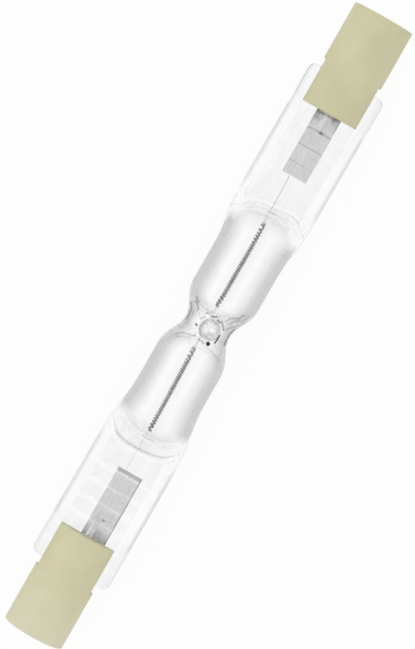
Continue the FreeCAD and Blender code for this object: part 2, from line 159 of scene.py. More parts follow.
class CapSizes(bpy.types.PropertyGroup):
    """Sizes of the ceramic caps and their contacts"""

    well_radius: length("Well Radius", "Radius of the contact well", 2.2)
    slot_width: length("Slot Width", "Width of the slot that takes the pinch", 2.5)
    slot_reach: length("Slot Reach", "Where the slot ends", 32.15)
    inner_right: length("Right Inner End", "Where the right-hand cap ends on the pinch", 26.95)
    inner_left: length("Left Inner End", "Where the left-hand cap ends on the pinch", 26.6)
    cheek_step: length("Cheek Step", "How much shorter the lower cheek of a cap is than the upper one", 0.6)
    edge: length("Edge", "Rounding of the ceramic's edges", 0.12)
    head_radius: length("Head Radius", "Radius of a contact's head", 1.9)
    head_height: length("Head Height", "Height of a contact's head", 0.5)
    shank_radius: length("Shank Radius", "Radius of a contact's shank", 0.8)


class Finishes(bpy.types.PropertyGroup):
    """Colours of the lamp and of the floor"""

    quartz: colour("Quartz", "Tint of the clear quartz", (0.93, 0.932, 0.935))
    ceramic: colour("Ceramic", "Cream ceramic of the right-hand cap", (0.62, 0.594, 0.374))
    pale_ceramic: colour("Pale Ceramic", "Paler cream ceramic of the left-hand cap", (0.636, 0.606, 0.388))
    tungsten: colour("Tungsten", "Drawn tungsten wire", (0.46, 0.46, 0.47))
    molybdenum: colour("Molybdenum", "Rolled foil and pins", (0.85, 0.85, 0.86))
    nickel: colour("Nickel", "Plated contacts", (0.7, 0.69, 0.66))
    cement: colour("Cement", "White cement", (0.8, 0.79, 0.74))
    floor: colour("Floor", "Pale floor", (0.93, 0.93, 0.93))


class Shade:
    """One socket of a shader tree. Arithmetic on it adds Math nodes to the tree."""

    def __init__(self, tree, socket=None):
        self.tree = tree
        self.socket = socket

    def node(self, kind, settings=(), inputs=(), output=0):
        """A node of this kind, its settings first and its sockets after, as one of its outputs."""
        node = self.tree.nodes.new(kind)
        for name, value in dict(settings).items():
            setattr(node, name, value)
        for name, value in dict(inputs).items():
            if isinstance(value, Shade):
                self.tree.links.new(value.socket, node.inputs[name])
            else:
                node.inputs[name].default_value = value
        return Shade(self.tree, node.outputs[output] if node.outputs else None)

    def outputs(self, *names):
        """Several outputs of the node that this socket belongs to."""
        return [Shade(self.tree, self.socket.node.outputs[name]) for name in names]

    def maths(self, operation, first, second=0.0):
        """One Math node on this socket's tree."""
        return self.node("ShaderNodeMath", {"operation": operation}, {0: first, 1: second})

    def mix(self, share, first, second):
        """A colour between two others."""
        return self.node("ShaderNodeMix", {"data_type": "RGBA"}, {0: share, 6: first, 7: second}, output=2)

    def place(self, scale=(1, 1, 1)):
        """Object coordinates, stretched."""
        place = self.node("ShaderNodeTexCoord", output="Object")
        return self.node("ShaderNodeMapping", {}, {"Vector": place, "Scale": scale})

    def axes(self):
        """Object coordinates along X, Y and Z."""
        place = self.node("ShaderNodeTexCoord", output="Object")
        return self.node("ShaderNodeSeparateXYZ", {}, {"Vector": place}).outputs("X", "Y", "Z")

    def attribute(self, name):
        """The value of a mesh's own attribute."""
        return self.node("ShaderNodeAttribute", {"attribute_name": name}, output="Fac")

    def noise(self, place, detail=2.0, roughness=0.5):
        """A grey noise from 0 to 1 at a place."""
        inputs = {"Vector": place, "Scale": 1.0, "Detail": detail, "Roughness": roughness}
        return self.node("ShaderNodeTexNoise", {}, inputs)

    def grain(self, fineness, detail=2.0, roughness=0.5):
        """A grey noise all over the object, as fine as this along each axis, or along X, Y and Z."""
        scale = fineness if isinstance(fineness, tuple) else (fineness,) * 3
        return self.noise(self.place(scale), detail, roughness)

    def bump(self, height, distance_mm):
        """A normal bent by a height between 0 and 1, which stands for this distance in millimetres."""
        inputs = {"Height": height, "Distance": distance_mm * MM, "Strength": 1.0}
        return self.node("ShaderNodeBump", {}, inputs)

    def band(self, low, high):
        """This value stretched from 0 at low to 1 at high."""
        inputs = {"Value": self, "From Min": low, "From Max": high}
        return self.node("ShaderNodeMapRange", {"clamp": True}, inputs)

    def past(self, low, high):
        """This length stretched from 0 at low to 1 at high, which are in millimetres."""
        return self.band(low * MM, high * MM)

    def off_line(self, first, pitch):
        """How far this length lies from the nearest of many even lines."""
        along = (self - first) * (1 / pitch)
        return abs(along - self.maths("ROUND", along)) * pitch

    def larger(self, other):
        return self.maths("MAXIMUM", self, other)

    def __abs__(self):
        return self.maths("ABSOLUTE", self)

    def __add__(self, other):
        return self.maths("ADD", self, other)

    def __sub__(self, other):
        return self.maths("SUBTRACT", self, other)

    def __rsub__(self, other):
        return self.maths("SUBTRACT", other, self)

    def __mul__(self, other):
        return self.maths("MULTIPLY", self, other)

    def __gt__(self, other):
        return self.maths("GREATER_THAN", self, other)

    __radd__ = __add__
    __rmul__ = __mul__


def new_material(name):
    """An empty material and its shader tree."""
    material = bpy.data.materials.new(name)
    material.use_nodes = True
    material.node_tree.nodes.clear()
    return material, Shade(material.node_tree)


def show(shade, surface):
    """End a material's tree in this surface."""
    shade.node("ShaderNodeOutputMaterial", {}, {"Surface": surface})


def dress(material, shade, **sockets):
    """End a material's tree in a Principled shader with these sockets."""
    sockets = {name.replace("_", " "): value for name, value in sockets.items()}
    show(shade, shade.node("ShaderNodeBsdfPrincipled", {}, sockets))
    return material


def opaque(tint, factor=1.0):
    """A colour property as a socket value."""
    return (*(channel * factor for channel in tint), 1.0)


# Where the quartz changes along the lamp, each as two reaches in millimetres: the end of a chamber, the
# arch where it meets the pinch, the pinch itself, and the stretch under a cap.
CHAMBER_END = (11.6, 12.8)
ARCH_START, ARCH_END = (12.9, 13.5), (15.4, 16.2)
PINCH_START = (15, 16.5)
CAP_START, GLASS_END = (25.5, 27.5), (30.2, 30.8)
# How much light is left in the outer and the inner skin where they are seen edge on, where a painted shade
# darkens their tint.
OUTER_RIM, INNER_RIM = 0.47, 0.9
# Beyond so many reflections inside the glass, or so many surfaces, the glass glows plain white: painted light.
MOST_REFLECTIONS, MOST_SURFACES = 3.5, 11.5
GLOW = (0.96, 0.96, 0.96, 1)


def quartz_finish(finishes, glass, outside):
    """Clear quartz with the faint lines of a drawn tube. Its tint is darker where it is seen edge on, a
    painted shade, and it glows plain white where light is trapped in it, which is painted light.
    """
    material, shade = new_material("clear_quartz" if outside else "clear_quartz_inside")
    reach, across = (abs(axis) for axis in shade.axes()[:2])
    fold_dent_and_shade = shade.attribute("fold")
    lines = shade.grain((70, 900, 900), 3.0) * 0.6 + shade.grain(350, 1.0) * 0.4
    lines = lines * (1 - reach.past(11, 12) + reach.past(16, 18)) - fold_dent_and_shade * 2.0
    # Painted shade: the tint darkens where the glass is seen edge on.
    edge_on = shade.node("ShaderNodeLayerWeight", {}, {"Blend": 0.5}, output="Facing")
    darkest = 1 - (OUTER_RIM if outside else INNER_RIM)
    dim = shade.node(
        "ShaderNodeMapRange",
        {"interpolation_type": "SMOOTHSTEP"},
        {"Value": edge_on, "From Min": 0.07, "From Max": 0.42, "To Min": 0.0, "To Max": darkest},
    )
    dim = dim * (1 - reach.past(*CHAMBER_END) * 0.95 + reach.past(*PINCH_START) * 1.2)
    dim = dim * (1 - reach.past(*CAP_START) * 0.5 - reach.past(*GLASS_END) * 0.4)
    specks = shade.grain((1900, 2300, 2300)).band(0.5, 0.72)
    dim = dim.larger(specks * (reach.past(*ARCH_START) - reach.past(*ARCH_END)) * 0.16)
    clear, flat = WHITE, opaque(finishes.quartz, 0.965)
    if outside:
        clear, flat = opaque(finishes.quartz), pinch_tint_and_highlights(finishes, glass, shade)
    tint = shade.mix(dim, shade.mix(reach.past(12, 13), clear, flat), BLACK)
    if outside:
        # Painted highlight: the tint whitens along the arch that ends each chamber.
        tint = shade.mix(shade.attribute("arch") * 0.95, speck_and_line_shade(shade, fold_dent_and_shade, tint), WHITE)
    # Painted light: where light is trapped in the glass, it glows white through an emission.
    reflections, surfaces = shade.node("ShaderNodeLightPath").outputs("Glossy Depth", "Ray Depth")
    glowing = (reflections > MOST_REFLECTIONS - reach.past(10.3, 10.4)).larger(surfaces > MOST_SURFACES)
    if outside:
        # Painted light: a strip along the outer edges by the caps glows white.
        glowing_edge = across.past(4.35, 4.55) * reach.past(25.6, 26.8) * 0.5
        glowing = glowing.larger(glowing_edge)
    sockets = {
        "Base Color": tint,
        "Roughness": 0.0,
        "IOR": 1.458,
        "Transmission Weight": 1.0,
        "Normal": shade.bump(lines, 0.012),
    }
    clear_glass = shade.node("ShaderNodeBsdfPrincipled", {}, sockets)
    glow = shade.node("ShaderNodeEmission", {}, {"Color": GLOW, "Strength": 1.0})
    show(shade, shade.node("ShaderNodeMixShader", {}, {0: glowing, 1: clear_glass, 2: glow}))
    return material


def pinch_tint_and_highlights(finishes, glass, shade):
    """The quartz of a pinch: a little cloudy at random, with painted highlights that whiten it along its beads
    and cross ribs, and pale streaks at random.
    """
    x, y = shade.axes()[:2]
    reach, right = abs(x), x > 0.0
    clouds = shade.grain((520, 900, 900), 3.0)
    streaks = shade.grain((160, 1300, 1300), 3.0)
    first = glass.rib_first_left + right * (glass.rib_first_right - glass.rib_first_left)
    off = (reach + (clouds - 0.5) * 1.4 * MM).off_line(first, glass.rib_pitch)
    # Painted highlight along each cross rib.
    rib = (1 - off.past(0.06, 0.32)) * reach.past(18.0, 18.2) * (0.75 - right * 0.5) * clouds.band(0.2, 0.5)
    # Painted highlight along the beads, with pale streaks at random.
    bead = abs(y).past(3.25, 3.5) * (0.5 - reach.past(25, 27) * 0.4)
    bead = bead + streaks.band(0.5, 0.7) * (0.35 + right * 0.3)
    cloudy = shade.mix(clouds.band(0.35, 0.65), opaque(finishes.quartz, 0.93), opaque(finishes.quartz, 0.99))
    return shade.mix(rib.larger(bead), cloudy, WHITE)


def speck_and_line_shade(shade, fold_dent_and_shade, tint):
    """A black speck beside the nub, and painted shade along the dark lines round it."""
    places = {0: shade.place((1, 1, 0.2)), 1: Vector((-1.42, -0.96, 0.6)) * MM}
    off = shade.node("ShaderNodeVectorMath", {"operation": "DISTANCE"}, places, output="Value")
    # Painted shade darkens the tint along the dark lines, and the speck is black.
    return shade.mix(fold_dent_and_shade.larger(1 - off.past(0.2, 0.28)), tint, BLACK)


def tungsten_finish(finishes, name, shine):
    """Drawn wire with a dull oxide bloom. The shine lightens its colour, a painted light that makes the
    straight wire a lighter copy of the coiled one.
    """
    material, shade = new_material(name)
    spots = shade.grain(2500, 3.0)
    dull, clean = opaque(finishes.tungsten, 0.75 * shine), opaque(finishes.tungsten, 1.25 * shine)
    tint = shade.mix(spots.band(0.35, 0.7), dull, clean)
    return dress(material, shade, Base_Color=tint, Metallic=1.0, Roughness=spots * 0.2 + 0.3)


def molybdenum_finish(finishes, name, marks=None):
    """Rolled molybdenum with fine lines along the rolling, and a foil's marks where they are given."""
    material, shade = new_material(name)
    lines = shade.grain((250, 9000, 2000), 3.0)
    grain = shade.grain((2600, 3400, 3400), 3.0).band(0.3, 0.7)
    metal, metallic = finishes.molybdenum, 1.0
    tint = shade.mix(grain, opaque(metal, 0.9), opaque(metal, 1.06))
    if marks:
        tint, metallic = foil_marks(shade, metal, tint, **marks)
    normal = shade.bump(lines, 0.006)
    roughness = lines * 0.2 + 0.28
    return dress(material, shade, Base_Color=tint, Metallic=metallic, Roughness=roughness, Normal=normal)


def foil_marks(shade, metal, tint, first_rib, pitch, weld, edge=None):
    """A foil's tint and metallic share: a crease under each rib, partly real and partly painted, lighter as a
    painted highlight on the left-hand foil and darker as painted shade on the right, the weld spot, and
    painted shade near the cap.

    The left-hand foil, whose long edge is given, also has a painted highlight in a wedge where the lead runs
    over it, less metal there and near the cap so that they take more light, a darker inner end and a dark line
    along that edge."""
    left = edge is not None
    x, y = shade.axes()[:2]
    reach = abs(x)
    clouds = shade.grain((400, 900, 900), 3.0)
    wobble = (clouds - 0.5) * 0.35 * MM
    # A crease under each rib: partly real, partly painted, lighter on the left-hand foil as a highlight and
    # darker on the right as shade.
    crease = 1 - (reach + wobble).off_line(first_rib, pitch).past(0.03, 0.1)
    strength = clouds.band(0.3, 0.6) * 0.4 + 0.4 if left else reach.past(19, 24.5) * 0.6 + 0.3
    tint = shade.mix(crease * strength, tint, opaque(metal, 1.32 if left else 0.62))
    # Painted shade near the cap.
    painted_cap_shade = reach.past(24.9, 26.6) * clouds.band(0.45, 0.6) * (0.3 if left else 0.75)
    tint = shade.mix(painted_cap_shade, tint, opaque(metal, 0.35))
    metallic = 1.0
    if left:
        past = reach - 24.95 * MM
        off = abs(y + past * 0.33 + 0.05 * MM + wobble) - past * 0.25
        # Painted highlight: a pale wedge where the lead runs over the foil, with less metal there and near the
        # cap so that they take more light.
        wedge = (1 - off.past(0.0, 0.15)) * past.past(0.0, 0.1) * clouds.band(0.3, 0.5)
        tint = shade.mix(wedge * 0.9, tint, (0.95, 0.95, 0.96, 1))
        metallic = 1 - (wedge * 0.8).larger(past.past(0.4, 1.6) * 0.5)
    along, across = (reach - weld[0] * MM) * 1.5, (y - weld[1] * MM) * (1 if left else 0.8)
    off = shade.maths("SQRT", along * along + across * across) + wobble * 0.5
    tint = shade.mix((1 - off.past(0.08, 0.3)) * (0.5 if left else 0.8), tint, opaque(metal, 0.2))
    if left:
        tint = shade.mix((1 - reach.past(18.75, 18.8)) * 0.55, tint, opaque(metal, 0.5))
        line = (1 - (y - edge).past(0.06, 0.2)) * 0.75 * clouds.band(0.2, 0.5)
        tint = shade.mix(line, tint, opaque(metal, 0.3))
    return tint, metallic


def ceramic_finish(name, cream, fade):
    """Unglazed cream ceramic: fine grain, faint mottling and a little shine.

    The outer end is paler by the fade."""
    material, shade = new_material(name)
    grain = shade.grain(6000, 3.0, 0.6)
    tint = shade.mix(shade.grain(260, 3.0).band(0.3, 0.7), opaque(cream, 0.95), opaque(cream, 1.04))
    reach = abs(shade.axes()[0])
    tint = shade.mix(reach.past(32, 38) * fade, tint, WHITE)
    tint = shade.mix(shade.grain(3500, 1.0).band(0.7, 0.8) * 0.15, tint, opaque(cream, 0.8))
    normal = shade.bump(grain, 0.02)
    return dress(material, shade, Base_Color=tint, Roughness=grain * 0.2 + 0.42, Normal=normal)


def nickel_finish(finishes):
    """Satin nickel plate with turning marks."""
    material, shade = new_material("satin_nickel")
    across, up = shade.axes()[1:]
    off_axis = shade.maths("SQRT", across * across + up * up)
    rings = shade.noise(shade.node("ShaderNodeCombineXYZ", {}, {"X": off_axis * 9000}))
    stain = shade.grain(700, 3.0)
    tint = shade.mix(stain.band(0.4, 0.75), opaque(finishes.nickel, 1.1), opaque(finishes.nickel, 0.8))
    normal = shade.bump(rings, 0.006)
    return dress(material, shade, Base_Color=tint, Metallic=1.0, Roughness=stain * 0.2 + 0.22, Normal=normal)


def cement_finish(finishes):
    """Matt white cement with pores."""
    material, shade = new_material("white_cement")
    lumps = shade.grain(1800, 4.0, 0.6)
    pores = shade.grain(5000)
    tint = shade.mix(pores.band(0.6, 0.75), opaque(finishes.cement), opaque(finishes.cement, 0.7))
    normal = shade.bump(lumps + pores * 0.3, 0.06)
    return dress(material, shade, Base_Color=tint, Roughness=0.9, Normal=normal)


def floor_finish(finishes):
    """Pale floor. It is plain white to the eye, to a gloss and through glass, and keeps its shadows."""
    material, shade = new_material("pale_floor")
    paths = shade.node("ShaderNodeLightPath").outputs("Is Camera Ray", "Is Glossy Ray", "Is Transmission Ray")
    paper = shade.node("ShaderNodeBsdfDiffuse", {}, {"Color": opaque(finishes.floor)})
    white = shade.node("ShaderNodeEmission", {}, {"Color": WHITE, "Strength": 1.0})
    share = paths[0] * 0.93 + paths[1] * 0.5 + paths[2] * 0.5
    show(shade, shade.node("ShaderNodeMixShader", {}, {0: share, 1: paper, 2: white}))
    return material


def deselect():
    """Leave edit mode with nothing selected."""
    if bpy.context.object and bpy.context.object.mode != "OBJECT":
        bpy.ops.object.mode_set(mode="OBJECT")
    bpy.ops.object.select_all(action="DESELECT")


def start_piece(name):
    """Name the active object, such as a primitive that was just added, and give it back."""
    piece = bpy.context.object
    piece.name = name
    piece.data.name = name
    return piece


def make_active(piece):
    """Select one object alone."""
    deselect()
    piece.select_set(True)
    bpy.context.view_layer.objects.active = piece


def edit(piece, mode="VERT"):
    """Enter edit mode on one object."""
    make_active(piece)
    bpy.ops.object.mode_set(mode="EDIT")
    bpy.ops.mesh.select_mode(type=mode)


def settle(piece):
    """Put an object's place into its mesh."""
    make_active(piece)
    bpy.ops.object.transform_apply(location=True, rotation=True, scale=True)


def smooth(piece, angle):
    """Smooth shading, with edges sharper than an angle in degrees kept."""
    make_active(piece)
    bpy.ops.object.shade_smooth_by_angle(angle=math.radians(angle))


def apply_modifier(piece, kind, **settings):
    """Add a modifier, set it and apply it."""
    make_active(piece)
    modifier = piece.modifiers.new(kind.title(), kind)
    for name, value in settings.items():
        setattr(modifier, name, value)
    bpy.ops.object.modifier_apply(modifier=modifier.name)


def round_edges(piece, width, segments, angle, **settings):
    """Bevel the edges that are sharper than an angle in degrees."""
    limit = {"limit_method": "ANGLE", "angle_limit": math.radians(angle)}
    apply_modifier(piece, "BEVEL", width=width, segments=segments, **limit, **settings)


def join(pieces):
    """Make one object of several, which keeps the first one's origin."""
    make_active(pieces[0])
    for piece in pieces[1:]:
        piece.select_set(True)
    bpy.ops.object.join()
    return pieces[0]


def coat(piece, material):
    """Give a piece one material all over."""
    piece.data.materials.clear()
    piece.data.materials.append(material)


def ready(piece, node):
    """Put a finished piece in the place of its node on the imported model."""
    settle(piece)
    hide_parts(node)
    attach(piece, "root")


def select_faces(piece, test):
    """In edit mode, select the faces that a test on centre and normal picks."""
    mesh = bmesh.from_edit_mesh(piece.data)
    for face in mesh.faces:
        face.select_set(False)
    for face in mesh.faces:
        if test(face.calc_center_median(), face.normal):
            face.select_set(True)
    mesh.select_flush_mode()
    bmesh.update_edit_mesh(piece.data)


def ease(value):
    """A smooth step from 0 to 1."""
    value = min(max(value, 0.0), 1.0)
    return value * value * (3 - 2 * value)


def step(value, band):
    """A smooth step from 0 at the low end of a band to 1 at its high end."""
    low, high = band
    return ease((value - low) / (high - low))


def blend(first, second, share):
    """A value between two others."""
    return first + (second - first) * share


def soft_max(first, second, softness):
    """The larger of two heights, with a rounded change from one to the other."""
    share = min(max(0.5 + 0.5 * (first - second) / softness, 0.0), 1.0)
    return blend(second, first, share) + softness * share * (1 - share)


class Outline:
    """A line through places in millimetres, read at any station along it."""

    def __init__(self, *places):
        self.places = [(x * MM, y * MM) for x, y in places]

    def at(self, x):
        """The line's height at a station, straight from place to place."""
        places = self.places
        if x <= places[0][0]:
            return places[0][1]
        for (x0, y0), (x1, y1) in zip(places, places[1:]):
            if x < x1:
                return blend(y0, y1, (x - x0) / (x1 - x0))
        return places[-1][1]

    def smooth_at(self, x, span):
        """The line's height at a station, averaged over a short span to either side."""
        return sum(self.at(x + span * (index / 4 - 1)) for index in range(9)) / 9


class GlassForm:
    """The shapes of the envelope's two skins, as a place for each station and angle."""

    SHOULDER_SLOPE = math.radians(26.6)
    # Half the width of the glass beyond the tube, by side, read from this reach on over this span.
    WIDTHS = {
        1: Outline(
            (8.8, 4.0), (10, 4.06), (11, 4.17), (12, 4.41), (13, 4.56), (13.9, 4.62), (28, 4.64), (31.2, 4.67)
        ),
        -1: Outline(
            (8.6, 4.0), (10, 4.1), (11, 4.25), (12, 4.42), (13, 4.6), (14, 4.7), (17, 4.75), (31.2, 4.8)
        ),
    }
    WIDTHS_FROM, WIDTHS_SPAN = 8 * MM, 0.35 * MM
    # How far the middle of the glass stands off the axis, along the lamp.
    LEAN = Outline(
        (-31, 0.0), (-28, -0.02), (-22, -0.08), (-16, -0.1), (-13, -0.1), (-9, -0.02), (-3, 0.0),
        (-1.6, -0.05), (0, 0.02), (1.6, 0.13), (3, 0.07), (5, 0.01), (16, 0.03), (22, 0.0), (31, -0.08),
    )
    LEAN_SPAN = 0.8 * MM
    # The blown end of a chamber: where the tube starts to drop, how low it gets, and the arch where it
    # meets the pinch, for the face towards the nub and the other, with the arch's slant across the glass.
    BLOWN_FROM, BLOWN_FLOOR = 10.9 * MM, 0.75 * MM
    ARCHES = {1: (15.15 * MM, 14.9 * MM, -0.13), -1: (15.75 * MM, 15.1 * MM, 0.05)}
    # The pinch: where it starts to show and how softly, the inner slopes of its beads, its ribs, which
    # fade into the beads, and its round end.
    PRESSED_FROM, PRESSED_BLEND = 10 * MM, 0.7 * MM
    BEAD_SLOPE, RIB_FADE, RIB_COUNT = 0.35 * MM, 0.9 * MM, 4
    END_ROUND, END_FLATTENING = 0.85 * MM, 0.7
    # The nub: the reach that it stays within, its dome, the dimple where it was sealed, how steep its
    # sides are, how softly it rises and how uneven it is.
    NUB_WITHIN, NUB_DOME, NUB_STEEPNESS, NUB_BLEND = 3 * MM, 1.15 * MM, 6, 0.2 * MM
    DIMPLE_DEPTH, DIMPLE_RADIUS = 0.22 * MM, 0.55 * MM
    NUB_WAVE, OUTER_WAVE, INNER_WAVE, FOLD_WAVE = 0.1 * MM, 0.01 * MM, 0.03 * MM, 0.04 * MM
    # The hollow: where it opens from the throat into a chamber, how much shorter the left-hand chamber
    # is, where the ends widen and get lower, and where they close in plan and in height.
    BORE_OPENING = (0.6 * MM, 2.9 * MM)
    LEFT_SHORTER = 0.6 * MM
    WIDENING, WIDENING_REACH = 0.5 * MM, (10.4 * MM, 12.6 * MM)
    LOWERING, LOWERING_REACH = 0.1, (10.9 * MM, 12.9 * MM)
    CLOSES_IN_PLAN, CLOSES_IN_HEIGHT = 11.8 * MM, 12.5 * MM
    FOLD_RISES, FOLD_FADES = (0.9 * MM, 1.9 * MM), (3.2 * MM, 4.8 * MM)
    # The exhaust bore under the nub.
    EXHAUST_HEIGHT, EXHAUST_EDGE = 2.0 * MM, (0.12 * MM, 0.54 * MM)

    def __init__(self, sizes):
        self.sizes = sizes
        slope = self.SHOULDER_SLOPE
        self.neck = sizes.throat_arc * math.sin(slope)
        self.neck_radius = sizes.throat_radius + sizes.throat_arc * (1 - math.cos(slope))
        shoulder_radius = sizes.tube_radius - sizes.shoulder_arc * (1 - math.cos(slope))
        self.shoulder = self.neck + (shoulder_radius - self.neck_radius) / math.tan(slope)
        self.tube_start = self.shoulder + sizes.shoulder_arc * math.sin(slope)

    def lean(self, x):
        """How far the middle of the glass stands off the axis at a station."""
        return self.LEAN.smooth_at(x, self.LEAN_SPAN)

    def tube_radius(self, reach):
        """Outside radius of the round tube at a reach."""
        sizes = self.sizes
        if reach < self.neck:
            return sizes.throat_radius + sizes.throat_arc - math.sqrt(sizes.throat_arc**2 - reach**2)
        if reach < self.shoulder:
            return self.neck_radius + (reach - self.neck) * math.tan(self.SHOULDER_SLOPE)
        if reach < self.tube_start:
            off = self.tube_start - reach
            return sizes.tube_radius - sizes.shoulder_arc + math.sqrt(sizes.shoulder_arc**2 - off**2)
        return sizes.tube_radius

    def half_width(self, x):
        """Half the width of the glass, seen from above."""
        if abs(x) < self.WIDTHS_FROM:
            return self.tube_radius(abs(x))
        return self.WIDTHS[1 if x > 0 else -1].smooth_at(abs(x), self.WIDTHS_SPAN)

    def rib(self, x):
        """Height of the cross ribs at a station."""
        sizes = self.sizes
        along = abs(x) - (sizes.rib_first_right if x > 0 else sizes.rib_first_left)
        index = min(max(round(along / sizes.rib_pitch), 0), self.RIB_COUNT - 1)
        off = abs(along - index * sizes.rib_pitch) / (sizes.rib_width * 0.5)
        return sizes.rib_height * (1 - ease(off))

    def slab(self, x, y, half):
        """Height of a pinch's face: round beads at its edges and a flat web with cross ribs."""
        sizes = self.sizes
        radius = sizes.bead_radius
        into = half - radius - abs(y)
        if into < 0:
            return math.sqrt(max(radius**2 - into**2, 0))
        web = blend(radius, sizes.web_half, ease(into / self.BEAD_SLOPE))
        return web + self.rib(x) * ease(into / self.RIB_FADE)

    def arch(self, x, y, half, face):
        """How far the blown end reaches past its start, at a place across the glass."""
        top, bottom, slant = self.ARCHES[1 if x > 0 else -1]
        reach = (top if face > 0 else bottom) - self.BLOWN_FROM + slant * y
        return reach * max(1 - (abs(y) / half * 1.03) ** 4, 0.02) ** 0.5

    def past_arch(self, place):
        """How far a place on the upper face lies beyond the arch."""
        y = place.y - self.lean(place.x)
        return abs(place.x) - self.BLOWN_FROM - self.arch(place.x, y, self.half_width(place.x), 1)

    def blown(self, x, y, half, face):
        """Height of the blown tube, down to the arch where it meets the pinch."""
        reach = abs(x)
        round_height = self.tube_radius(reach) * math.sqrt(max(1 - (y / half) ** 2, 0))
        if reach <= self.BLOWN_FROM or round_height <= self.BLOWN_FLOOR:
            return round_height
        along = (reach - self.BLOWN_FROM) / self.arch(x, y, half, face)
        return blend(self.BLOWN_FLOOR, round_height, max(1 - min(along, 1.0) ** 1.7, 0) ** 0.85)

    def outer(self, x, turn):
        """The outer skin."""
        reach, half, bead = abs(x), self.half_width(x), self.sizes.bead_radius
        across, up = math.cos(turn), math.sin(turn)
        y = half * across
        z = self.blown(x, y, half, up)
        if reach > self.PRESSED_FROM:
            softness = self.PRESSED_BLEND * min(abs(up) * 2, 1) * ease((reach - self.PRESSED_FROM) / MM)
            z = soft_max(z, self.slab(x, y, half), max(softness, 1e-6))
        end = GLASS_HIGH.x - reach
        if end < self.END_ROUND:
            inset = self.END_ROUND - math.sqrt(max(self.END_ROUND**2 - (self.END_ROUND - end) ** 2, 0))
            y *= (half - inset) / half
            z *= (bead - inset * self.END_FLATTENING) / bead
        wave = (noise.noise(Vector((x * 320, y * 420, up + 7))) - 1) * self.OUTER_WAVE
        z = math.copysign(max(z + wave * min(abs(up) * 3, 1), 0), up)
        if z > 0 and reach < self.NUB_WITHIN:
            z = self.nub(x, y, z)
        return Vector((x, y + self.lean(x), z))

    def nub(self, x, y, z):
        """Height of the skin where the exhaust nub rises from the throat."""
        radius, dome = self.sizes.nub_radius, self.NUB_DOME
        wave = noise.noise(Vector((x * 900, y * 900, 3.3))) * self.NUB_WAVE
        off = math.hypot(x, y - self.sizes.nub_shift) + wave
        height = self.sizes.nub_top - dome
        if off < radius:
            height += dome * math.sqrt(1 - (off / radius) ** 2)
            height -= self.DIMPLE_DEPTH * (1 - ease(off / self.DIMPLE_RADIUS))
        else:
            height -= (off - radius) * self.NUB_STEEPNESS
        return soft_max(height, z, self.NUB_BLEND)

    def inner(self, x, turn):
        """The skin of the chambers and the bore between them. The left-hand chamber is a little shorter."""
        sizes = self.sizes
        end = sizes.dome_reach - (0.0 if x > 0 else self.LEFT_SHORTER)
        x *= end / sizes.dome_reach
        reach = abs(x)
        across, up = math.cos(turn), math.sin(turn)
        radius = blend(sizes.bore_throat, sizes.bore_radius, step(reach, self.BORE_OPENING))
        wide = radius + self.WIDENING * step(reach, self.WIDENING_REACH)
        plan = max(1 - (max(reach - self.CLOSES_IN_PLAN, 0) / (end - self.CLOSES_IN_PLAN)) ** 2.6, 0) ** 0.5
        low = max(1 - (max(reach - self.CLOSES_IN_HEIGHT, 0) / (end - self.CLOSES_IN_HEIGHT)) ** 4, 0) ** 0.5
        y = wide * plan * across
        z = radius * low * up * (1 - self.LOWERING * step(reach, self.LOWERING_REACH))
        fold = step(reach, self.FOLD_RISES) * (1 - step(reach, self.FOLD_FADES))
        wave = noise.noise(Vector((x * 300, y * 380 + 5, z * 380))) * self.INNER_WAVE
        wave += noise.noise(Vector((x * 1000, across * 2.0, up * 2.0 + 11))) * self.FOLD_WAVE * fold
        y += wave * across * plan
        z += wave * up * low
        if z > 0 and reach < MM:
            off = math.hypot(x, y - sizes.nub_shift)
            z += self.EXHAUST_HEIGHT * (1 - step(off, self.EXHAUST_EDGE))
        return Vector((x, y + self.lean(x), z))


